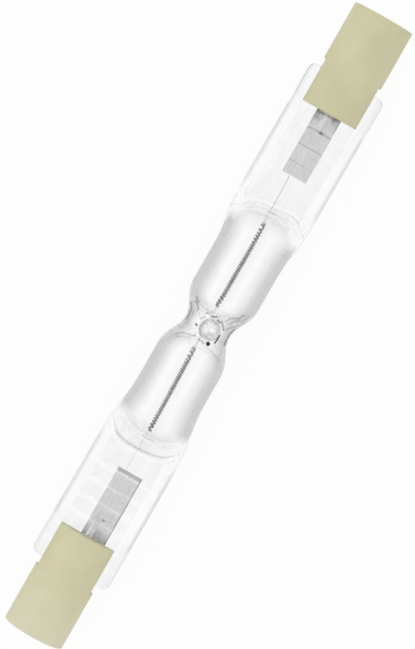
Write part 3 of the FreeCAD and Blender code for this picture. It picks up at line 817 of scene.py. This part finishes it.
# Lines of painted shade round the nub, each also a shallow dent: half width, darkness and course of each, in
# millimetres.
FOLD_SHADE_LINES = (
    (0.15, 0.6, (1.67, -1.42), (2.32, -1.81), (2.67, -2.51), (3.26, -2.88)),
    (0.13, 0.5, (1.49, -1.78), (2.16, -2.29), (2.54, -2.96), (3.31, -3.42)),
    (0.14, 0.5, (0.9, -1.9), (1.4, -2.35), (1.9, -2.9), (2.4, -3.2)),
    (0.14, 0.8, (2.38, 2.68), (2.01, 2.22)),
    (0.11, 0.4, (2.01, 2.22), (1.8, 1.46), (1.79, 0.81)),
    (0.14, 0.7, (1.91, 2.62), (1.63, 2.0), (1.2, 1.85)),
    (0.12, 0.4, (1.0, 2.3), (0.4, 2.1), (-0.4, 2.2), (-1.1, 2.4)),
    (0.14, 0.55, (-2.23, 2.73), (-1.73, 1.99), (-1.54, 1.21), (-1.38, 0.66)),
    (0.11, 0.4, (-2.47, 2.46), (-1.99, 1.72), (-1.85, 1.03)),
    (0.12, 0.4, (-1.94, -1.57), (-2.25, -2.38), (-2.47, -2.89)),
    (0.17, 0.9, (1.39, 0.1), (1.63, -0.31)),
    (0.17, 1.0, (1.34, -0.6), (1.22, -0.92)),
    (0.13, 1.0, (1.5, -1.0), (1.3, -1.18), (1.05, -1.39), (0.67, -1.7)),
    (0.13, 1.2, (-0.04, -1.6), (-0.57, -1.6), (-1.03, -1.54)),
    (0.13, 0.6, (0.54, 1.16), (1.03, 0.75)),
    (0.16, 1.1, (-0.2, 1.3), (-0.31, 1.13)),
    (0.15, 0.7, (-1.47, 0.22), (-1.5, 0.0)),
    (0.15, 0.8, (-1.5, -0.2), (-1.6, -0.45)),
    (0.12, 0.5, (0.45, 0.55), (-0.1, 0.75), (-0.75, 0.45)),
    (0.14, 0.7, (1.42, 0.9), (1.53, 0.73)),
    (0.12, 0.7, (2.42, 2.65), (2.1, 2.43), (1.69, 2.21), (1.52, 1.96)),
    (0.16, 0.8, (1.52, 2.94), (1.05, 2.6), (0.35, 2.45), (-0.28, 2.45)),
    (0.16, 0.9, (1.29, -2.66), (0.55, -2.5), (-0.22, -2.5), (-0.81, -2.59)),
    (0.26, 0.5, (-0.5, -0.45), (-0.25, -0.85)),
    (0.12, 0.55, (-0.23, -0.35), (-0.16, -0.9)),
    (0.12, 0.4, (-0.68, -0.24), (-0.27, -0.36)),
    (0.13, 0.6, (-0.9, 0.44), (-1.11, -0.03)),
)
# The reach that the fold lines stay within, and that of the arches. The painted highlight along an arch lies
# this far beyond it, and is this wide to either side.
FOLDS_WITHIN = 4 * MM
ARCHES_WITHIN = (11 * MM, 16.6 * MM)
ARCH_HIGHLIGHT, ARCH_HIGHLIGHT_HALF = 0.12 * MM, 0.26 * MM


def line_distance(place, start, stop):
    """Distance in the plane from a place to a straight line's stretch."""
    run = stop - start
    share = min(max((place - start).dot(run) / run.length_squared, 0), 1)
    return (place - start - run * share).length


def mark_fold_shade(mesh):
    """Store the painted shade of the dark lines round the waist on the side of the nub, for the quartz to
    read.
    """
    marks = mesh.attributes.new("fold", "FLOAT", "POINT").data
    for vert in mesh.vertices:
        if vert.co.z < 0 or abs(vert.co.x) > FOLDS_WITHIN:
            continue
        place = Vector((vert.co.x, vert.co.y)) / MM
        for half, darkness, *course in FOLD_SHADE_LINES:
            lines = zip(course, course[1:])
            off = min(line_distance(place, Vector(start), Vector(stop)) for start, stop in lines)
            if off < half:
                marks[vert.index].value = max(marks[vert.index].value, darkness * (1 - (off / half) ** 2))


def mark_arch_highlights(mesh, form):
    """Store where the painted highlight runs that ends each blown chamber on the face with the nub."""
    marks = mesh.attributes.new("arch", "FLOAT", "POINT").data
    for vert in mesh.vertices:
        if vert.co.z > 0 and ARCHES_WITHIN[0] < abs(vert.co.x) < ARCHES_WITHIN[1]:
            off = abs(form.past_arch(vert.co) - ARCH_HIGHLIGHT) / ARCH_HIGHLIGHT_HALF
            marks[vert.index].value = max(1 - off**2, 0.0)


def spread_stations(stops):
    """Reaches from stop to stop, each stretch with its own spacing, from millimetres to metres."""
    places = []
    for (start, spacing), (stop, _) in zip(stops, stops[1:]):
        count = max(round((stop - start) / spacing), 1)
        places += [start + (stop - start) * index / count for index in range(count)]
    return [place * MM for place in places + [stops[-1][0]]]


def both_ways(reaches):
    """Stations from the far left to the far right, from the reaches on one side."""
    return [-reach for reach in reversed(reaches) if reach > 0] + list(reaches)


def skin(name, stations, points, form):
    """A closed skin: a flat grid rolled up into a tube and pressed to its form, its seam and ends closed."""
    deselect()
    steps = len(stations) - 1
    bpy.ops.mesh.primitive_grid_add(x_subdivisions=steps, y_subdivisions=points, size=1)
    piece = start_piece(name)
    for vert in piece.data.vertices:
        along, turn = vert.co.x + 0.5, vert.co.y + 0.5
        vert.co = form(stations[round(along * steps)], round(turn * points) * math.tau / points)
    edit(piece)
    bpy.ops.mesh.select_all(action="SELECT")
    bpy.ops.mesh.remove_doubles(threshold=1e-7)
    bpy.ops.mesh.fill_holes(sides=0)
    bpy.ops.mesh.select_all(action="SELECT")
    bpy.ops.mesh.normals_make_consistent(inside=False)
    bpy.ops.object.mode_set(mode="OBJECT")
    return piece


# Reaches where the spacing of a skin's stations changes, each with the new spacing, in millimetres.
OUTER_STATIONS = (
    (0, 0.08), (3.2, 0.25), (5.0, 0.5), (10.6, 0.14), (13.2, 0.07), (16.0, 0.3), (18.1, 0.2), (25.6, 0.6),
    (30.1, 0.08), (31.2, 1),
)
INNER_STATIONS = ((0, 0.1), (1.2, 0.15), (4.0, 0.45), (10.5, 0.15), (13.2, 0.08), (14.1, 0.03), (14.5, 1))


class LAMP_OT_glass(bpy.types.Operator):
    """Model the quartz envelope: an outer skin, and the skin of its chambers inside"""

    bl_idname = "lamp.glass"
    bl_label = "Quartz Envelope"

    def execute(self, context):
        sizes, finishes = context.scene.lamp_glass, context.scene.lamp_finishes
        form = GlassForm(sizes)
        points = sizes.ring_points
        outside = skin("quartz_glass", both_ways(spread_stations(OUTER_STATIONS)), points, form.outer)
        chambers = skin("chambers", both_ways(spread_stations(INNER_STATIONS)), points * 3 // 4, form.inner)
        edit(chambers)
        bpy.ops.mesh.select_all(action="SELECT")
        bpy.ops.mesh.flip_normals()
        bpy.ops.object.mode_set(mode="OBJECT")
        mark_fold_shade(outside.data)
        mark_arch_highlights(outside.data, form)
        coat(outside, quartz_finish(finishes, sizes, True))
        coat(chambers, quartz_finish(finishes, sizes, False))
        smooth(join([outside, chambers]), 60)
        ready(outside, "quartz_envelope")
        return {"FINISHED"}


def on_axis(x):
    """A place on the lamp's axis."""
    return Vector((x, 0, 0))


def rod(name, points, radius, low, high):
    """A round bar along X between two places, settled there."""
    deselect()
    turn, middle = (0, math.pi / 2, 0), (low + high) / 2
    bpy.ops.mesh.primitive_cylinder_add(
        vertices=points, radius=radius, depth=high.x - low.x, rotation=turn, location=middle
    )
    piece = start_piece(name)
    settle(piece)
    return piece


def wire(name, points, radius):
    """A round wire along a smooth line, as a mesh."""
    deselect()
    line = bpy.data.curves.new(name, "CURVE")
    line.dimensions = "3D"
    spline = line.splines.new("NURBS")
    spline.points.add(len(points) - 1)
    for point, place in zip(spline.points, points):
        point.co = (*place, 1)
    spline.order_u = 3
    spline.use_endpoint_u = True
    line.resolution_u = 6
    line.bevel_depth = radius
    line.bevel_resolution = 3
    line.use_fill_caps = True
    piece = bpy.data.objects.new(name, line)
    bpy.context.scene.collection.objects.link(piece)
    make_active(piece)
    bpy.ops.object.convert(target="MESH")
    return bpy.context.object


# How far the section of a coil's wire leans with its pitch.
WIRE_SLANT = math.radians(12)


def coil(name, start, stop, sizes):
    """A close coil between two points: one section of wire, wound by a Screw modifier."""
    deselect()
    run = stop - start
    turns = round(run.length / sizes.coil_pitch)
    rim = (0, 0, sizes.coil_radius)
    bpy.ops.mesh.primitive_circle_add(
        vertices=9, radius=sizes.wire_radius, rotation=(math.pi / 2, 0, 0), location=rim
    )
    piece = start_piece(name)
    settle(piece)
    edit(piece)
    bpy.ops.mesh.select_all(action="SELECT")
    bpy.ops.transform.rotate(value=WIRE_SLANT, orient_axis="Z", center_override=rim)
    bpy.ops.object.mode_set(mode="OBJECT")
    winding = {"axis": "X", "angle": math.tau, "screw_offset": run.length / turns, "iterations": turns}
    apply_modifier(piece, "SCREW", steps=18, render_steps=18, use_normal_calculate=True, **winding)
    turn = on_axis(1).rotation_difference(run).to_matrix().to_4x4()
    piece.matrix_world = Matrix.Translation(start) @ turn
    settle(piece)
    return piece


# Each coil's two ends, the one by the throat first, and how far off the axis its lead is welded on, in
# millimetres, then how thick that lead is. The left-hand lead can hardly be seen in the photograph.
COILS = {
    "right": ((2.58, 0.2, 0.0), (12.3, 0.22, 0.0), 0.46, 1.0),
    "left": ((-2.66, 0.13, 0.0), (-12.55, -0.05, 0.0), 0.04, 0.45),
}
# How far a lead's end stands off the foil, and how far the wire sags in the throat.
WELD_LIFT = 0.02 * MM
THROAT_SAG = Vector((0, 0.05, -0.1)) * MM


class LAMP_OT_filament(bpy.types.Operator):
    """Wind the filament: a close coil in each chamber and straight wire between and beyond"""

    bl_idname = "lamp.filament"
    bl_label = "Filament"

    def execute(self, context):
        sizes = context.scene.lamp_metal
        finishes = context.scene.lamp_finishes
        low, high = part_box("filament")
        rim = Vector((0, 0, sizes.coil_radius))
        coiled = tungsten_finish(finishes, "coiled_tungsten", 1.0)
        # Painted light: the straight wire is the same tungsten, made lighter.
        straight = tungsten_finish(finishes, "straight_tungsten", 1.6)
        pieces, starts = [], []
        for side, (near, far, weld_y, thickness) in COILS.items():
            sign = SIDES[side]
            near, far = Vector(near) * MM, Vector(far) * MM
            weld_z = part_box(f"foil_{side}")[0].z + WELD_LIFT
            pieces.append(coil(f"coil_{side}", near, far, sizes))
            coat(pieces[-1], coiled)
            starts.append(near + rim)
            leave, weld = far + rim, Vector((high.x if sign > 0 else low.x, weld_y * MM, weld_z))
            steps = [
                leave + Vector((0, -0.05 * sign, 0)) * MM,
                leave,
                leave + Vector((0.12 * sign, 0.1, 0.02)) * MM,
                leave.lerp(weld, 0.12) + Vector((0, 0.08, 0)) * MM,
                leave.lerp(weld, 0.55),
                weld,
            ]
            pieces.append(wire(f"inner_lead_{side}", steps, sizes.straight_radius * thickness))
            coat(pieces[-1], straight)
        right, left = starts
        bow = (right + left) / 2 + THROAT_SAG
        steps = [right, right.lerp(bow, 0.2), bow, left.lerp(bow, 0.2), left]
        pieces.append(wire("throat_link", steps, sizes.straight_radius))
        coat(pieces[-1], straight)
        join(pieces)
        filament = start_piece("coiled_filament")
        smooth(filament, 60)
        ready(filament, "filament")
        return {"FINISHED"}


# How high a foil rises in a tent over the tip of its outer lead, and how deep its wrinkles are, by side.
TENT = {1: 0.14 * MM, -1: 0.05 * MM}
WRINKLE = {1: 0.035 * MM, -1: 0.008 * MM}
# The weld spots' places in millimetres, and how much of a foil's thickness shows.
WELDS = {"right": (24.74, -0.27), "left": (24.42, -0.6)}
FOIL_SHARE = 0.6
# Where a lead's tip gets new edges, in millimetres from its end. The flat under the foil lies this far
# off the axis and is this long, and the tip narrows and thins to these shares over its first millimetre.
LEAD_CUTS = (0.12, 0.35, 0.8, 1.4, 3.8, 4.1)
LEAD_FLAT, LEAD_FLAT_LENGTH = 0.3 * MM, 3.9 * MM
TIP_WIDTH, TIP_THICKNESS = 0.45, 0.35


def crumple(x, y, weld, side):
    """How far a foil's face stands off: a tent over the outer lead's tip, and small wrinkles round it."""
    past = abs(x) - abs(weld)
    width = 0.55 * MM * min(max((past + 0.35 * MM) / (1.3 * MM), 0.02), 1)
    tent = max(1 - abs(y) / width, 0) * step(past, (-0.35 * MM, 0.55 * MM))
    wrinkle = noise.noise(Vector((x * 1900, y * 1100, side * 4.0))) * step(past, (-0.8 * MM, 0.8 * MM))
    return side * tent * TENT[side] + wrinkle * WRINKLE[side]


class LAMP_OT_seals(bpy.types.Operator):
    """Model both sealing foils and both outer leads"""

    bl_idname = "lamp.seals"
    bl_label = "Foils and Outer Leads"

    def execute(self, context):
        sizes = context.scene.lamp_metal
        finishes, glass = context.scene.lamp_finishes, context.scene.lamp_glass
        pin = molybdenum_finish(finishes, "molybdenum_pin")
        marks = {side: {"pitch": glass.rib_pitch, "weld": WELDS[side]} for side in SIDES}
        marks["right"].update(first_rib=glass.rib_first_right)
        marks["left"].update(first_rib=glass.rib_first_left, edge=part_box("foil_left")[0].y)
        for side, sign in SIDES.items():
            strip = molybdenum_finish(finishes, f"molybdenum_foil_{side}", marks[side])
            self.foil(side, sign, sizes, strip)
            self.lead(side, sign, sizes, pin)
        return {"FINISHED"}

    def foil(self, side, sign, sizes, metal):
        """A foil strip, crumpled where the lead is welded on."""
        low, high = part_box(f"foil_{side}")
        lead_low, lead_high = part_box(f"outer_lead_{side}")
        weld = lead_low.x if sign > 0 else lead_high.x
        middle = (low + high) / 2
        deselect()
        bpy.ops.mesh.primitive_grid_add(x_subdivisions=150, y_subdivisions=46, size=1, location=middle)
        piece = start_piece(f"sealing_foil_{side}")
        piece.scale = (high.x - low.x, high.y - low.y, 1)
        settle(piece)
        for vert in piece.data.vertices:
            x, y = vert.co.x, vert.co.y
            vert.co.z += crumple(x, y - middle.y, weld, sign)
            vert.co.z += noise.noise(Vector((x * 500, y * 700, 2.0))) * 0.004 * MM
        apply_modifier(piece, "SOLIDIFY", thickness=sizes.foil_thickness * FOIL_SHARE, offset=0.0)
        smooth(piece, 50)
        coat(piece, metal)
        ready(piece, f"foil_{side}")

    def lead(self, side, sign, sizes, metal):
        """A round pin whose end is ground to a blunt wedge on the foil."""
        low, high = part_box(f"outer_lead_{side}")
        piece = rod(f"outer_pin_{side}", 32, sizes.lead_radius, low, high)
        tip = low.x if sign > 0 else high.x
        edit(piece)
        for cut in LEAD_CUTS:
            bpy.ops.mesh.select_all(action="SELECT")
            bpy.ops.mesh.bisect(plane_co=(tip + cut * sign * MM, 0, 0), plane_no=(1, 0, 0))
        bpy.ops.object.mode_set(mode="OBJECT")
        face = LEAD_FLAT * sign
        for vert in piece.data.vertices:
            into = abs(vert.co.x - tip)
            point = ease(into / MM)
            vert.co.y *= blend(TIP_WIDTH, 1.0, point)
            vert.co.z = blend(face, vert.co.z, blend(TIP_THICKNESS, 1.0, point))
            if into < LEAD_FLAT_LENGTH:
                vert.co.z = min(vert.co.z, face) if sign > 0 else max(vert.co.z, face)
        round_edges(piece, 0.05 * MM, 2, 35)
        smooth(piece, 45)
        coat(piece, metal)
        ready(piece, f"outer_lead_{side}")


# Room round a contact in its stepped hole, and how close to the axis a ring's face has its centre.
CLEARANCE = 0.05 * MM
ON_AXIS = 1 * MM


class LAMP_OT_caps(bpy.types.Operator):
    """Model both ceramic caps: barrel, slot for the pinch, contact well and stepped hole"""

    bl_idname = "lamp.caps"
    bl_label = "Ceramic Caps"

    def execute(self, context):
        sizes = context.scene.lamp_caps
        finishes = context.scene.lamp_finishes
        # Each cap's cream, how much paler its outer end is, and where it ends on the pinch.
        ceramics = {
            "right": (finishes.ceramic, 0.015, sizes.inner_right),
            "left": (finishes.pale_ceramic, 0.12, sizes.inner_left),
        }
        for side, (cream, fade, inner) in ceramics.items():
            cap = self.cap(side, inner, sizes)
            cap.rotation_euler.z = 0 if side == "right" else math.pi
            coat(cap, ceramic_finish(f"cream_ceramic_{side}", cream, fade))
            ready(cap, f"cap_{side}")
        return {"FINISHED"}

    def cap(self, side, inner, sizes):
        """One cap, made at the right-hand end."""
        radius = CAP_HIGH.y
        piece = rod(f"ceramic_cap_{side}", 96, radius, on_axis(inner), on_axis(CAP_HIGH.x))
        edit(piece, "FACE")
        rings = (
            (sizes.well_radius, CONTACT_HIGH.x),
            (sizes.head_radius + CLEARANCE, CONTACT_HIGH.x - sizes.head_height),
            (sizes.shank_radius + CLEARANCE, CONTACT_LOW.x - CLEARANCE),
        )
        level, width = CAP_HIGH.x, radius
        for ring, floor in rings:
            select_faces(piece, lambda centre, normal: normal.x > 0.9 and centre.yz.length < ON_AXIS)
            bpy.ops.mesh.inset(thickness=width - ring)
            bpy.ops.mesh.extrude_region_move(TRANSFORM_OT_translate={"value": (floor - level, 0, 0)})
            level, width = floor, ring
        deselect()
        depth = sizes.slot_reach - inner + MM
        bpy.ops.mesh.primitive_cube_add(size=1, location=on_axis(sizes.slot_reach - depth / 2))
        cutter = bpy.context.object
        cutter.scale = (depth, radius * 3, sizes.slot_width)
        settle(cutter)
        apply_modifier(piece, "BOOLEAN", operation="DIFFERENCE", object=cutter, solver="EXACT")
        bpy.data.objects.remove(cutter)
        for vert in piece.data.vertices:
            if vert.co.z < 0 and vert.co.x < inner + 0.01 * MM:
                vert.co.x += sizes.cheek_step
        round_edges(piece, sizes.edge, 3, 35, harden_normals=True)
        smooth(piece, 35)
        return piece


# The ring pressed into a contact's face: how far in it lies, and the width and depth of the dish's wall.
DISH_INSET, DISH_WALL, DISH_DEPTH = 0.95 * MM, 0.2 * MM, 0.12 * MM


class LAMP_OT_contacts(bpy.types.Operator):
    """Model both contact buttons with their shanks"""

    bl_idname = "lamp.contacts"
    bl_label = "Contacts"

    def execute(self, context):
        sizes = context.scene.lamp_caps
        nickel = nickel_finish(context.scene.lamp_finishes)
        for side in SIDES:
            button = self.button(side, sizes)
            button.rotation_euler.z = 0 if side == "right" else math.pi
            coat(button, nickel)
            ready(button, f"contact_{side}")
        return {"FINISHED"}

    def button(self, side, sizes):
        """One button, made at the right-hand end: a head with a shallow dish and a shank behind it."""
        face = CONTACT_HIGH.x
        seat = face - sizes.head_height
        piece = rod(f"contact_button_{side}", 64, sizes.head_radius, on_axis(seat), on_axis(face))
        edit(piece, "FACE")
        select_faces(piece, lambda centre, normal: normal.x < -0.9)
        bpy.ops.mesh.inset(thickness=sizes.head_radius - sizes.shank_radius)
        bpy.ops.mesh.extrude_region_move(TRANSFORM_OT_translate={"value": (CONTACT_LOW.x - seat, 0, 0)})
        select_faces(piece, lambda centre, normal: normal.x > 0.9)
        bpy.ops.mesh.inset(thickness=DISH_INSET)
        bpy.ops.mesh.inset(thickness=DISH_WALL)
        bpy.ops.transform.translate(value=(-DISH_DEPTH, 0, 0))
        bpy.ops.object.mode_set(mode="OBJECT")
        round_edges(piece, 0.1 * MM, 3, 30)
        smooth(piece, 40)
        return piece


class LAMP_OT_cement(bpy.types.Operator):
    """Give the imported beds of cement between the pinches and the caps their finish"""

    bl_idname = "lamp.cement"
    bl_label = "Cement"

    def execute(self, context):
        cement = cement_finish(context.scene.lamp_finishes)
        for side in SIDES:
            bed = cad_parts[f"cement_{side}"]
            coat(bed, cement)
        return {"FINISHED"}


class LAMP_OT_stage(bpy.types.Operator):
    """Set the floor, the light and the camera"""

    bl_idname = "lamp.stage"
    bl_label = "Stage"

    def execute(self, context):
        self.floor(context.scene.lamp_finishes)
        self.light(context.scene)
        self.camera(context.scene)
        context.scene.view_settings.view_transform = "Standard"
        return {"FINISHED"}

    def floor(self, finishes):
        """A wide pale floor just under the glass."""
        deselect()
        bpy.ops.mesh.primitive_plane_add(size=FLOOR_SIZE, location=(0, 0, FLOOR_LEVEL))
        floor = start_piece("floor")
        floor.data.materials.append(floor_finish(finishes))
        settle(floor)

    def light(self, scene):
        """An even sky, brighter above and white to the camera, and one large soft box overhead."""
        world = bpy.data.worlds.new("studio")
        scene.world = world
        world.use_nodes = True
        world.node_tree.nodes.clear()
        shade = Shade(world.node_tree)
        way = shade.node("ShaderNodeTexCoord", output="Generated")
        up = shade.node("ShaderNodeSeparateXYZ", {}, {"Vector": way}, output="Z")
        seen = shade.node("ShaderNodeLightPath", output="Is Camera Ray")
        strength = up.band(0.0, 1.0) * SKY_RISE + SKY_LEVEL
        strength = seen * (1 - strength) + strength
        sky = shade.node("ShaderNodeBackground", {}, {"Color": WHITE, "Strength": strength})
        shade.node("ShaderNodeOutputWorld", {}, {"Surface": sky})
        box = bpy.data.lights.new("soft_box", "AREA")
        box.shape = "RECTANGLE"
        box.size, box.size_y = SOFT_BOX_SIZE
        box.energy = SOFT_BOX_POWER
        lamp = bpy.data.objects.new("soft_box", box)
        scene.collection.objects.link(lamp)
        lamp.location = SOFT_BOX_PLACE
        lamp.rotation_euler = SOFT_BOX_PLACE.to_track_quat("Z", "Y").to_euler()
        lamp.visible_camera = False

    def camera(self, scene):
        """A long lens above the lamp, turned so that +X runs up the picture as in the photograph."""
        lens = bpy.data.cameras.new("camera")
        back = CAMERA_PLACE - PHOTO_MIDDLE
        lens.sensor_width = SENSOR_WIDTH
        focal_pixels = PIXELS_PER_METRE * back.length**2 / back.z
        lens.lens = focal_pixels * SENSOR_WIDTH / PHOTO_HEIGHT
        lens.clip_start, lens.clip_end = CAMERA_RANGE
        camera = bpy.data.objects.new("camera", lens)
        scene.collection.objects.link(camera)
        back.normalize()
        along = (Vector((1, 0, 0)) - back * back.x).normalized()
        across = back.cross(along)
        right = along * ALONG_IN_PHOTO[0] - across * ALONG_IN_PHOTO[1]
        up = along * ALONG_IN_PHOTO[1] + across * ALONG_IN_PHOTO[0]
        turn = Matrix((right, up, back)).transposed().to_4x4()
        camera.matrix_world = Matrix.Translation(CAMERA_PLACE) @ turn
        scene.camera = camera


class LAMP_PT_panel(bpy.types.Panel):
    """The lamp's sizes and finishes, and a button for each group of its pieces"""

    bl_idname = "LAMP_PT_panel"
    bl_label = "Linear Halogen Bulb"
    bl_space_type = "VIEW_3D"
    bl_region_type = "UI"
    bl_category = "Lamp"

    def draw(self, context):
        for operator in OPERATORS:
            self.layout.operator(operator.bl_idname)
        for name in GROUPS:
            box = self.layout.box()
            group = getattr(context.scene, name)
            for key in group.bl_rna.properties.keys():
                if key not in ("rna_type", "name"):
                    box.prop(group, key)


GROUPS = {"lamp_glass": GlassSizes, "lamp_metal": MetalSizes, "lamp_caps": CapSizes, "lamp_finishes": Finishes}
OPERATORS = (
    LAMP_OT_stage,
    LAMP_OT_glass,
    LAMP_OT_filament,
    LAMP_OT_seals,
    LAMP_OT_caps,
    LAMP_OT_contacts,
    LAMP_OT_cement,
)
CLASSES = (*GROUPS.values(), *OPERATORS, LAMP_PT_panel)


def register():
    for item in CLASSES:
        bpy.utils.register_class(item)
    for name, group in GROUPS.items():
        setattr(bpy.types.Scene, name, PointerProperty(type=group))


def unregister():
    for name in GROUPS:
        delattr(bpy.types.Scene, name)
    for item in reversed(CLASSES):
        bpy.utils.unregister_class(item)


def main():
    """Build the lamp and its stage."""
    register()
    bpy.ops.lamp.stage()
    bpy.ops.lamp.glass()
    bpy.ops.lamp.filament()
    bpy.ops.lamp.seals()
    bpy.ops.lamp.caps()
    bpy.ops.lamp.contacts()
    bpy.ops.lamp.cement()
    deselect()


if __name__ == "__main__":
    main()
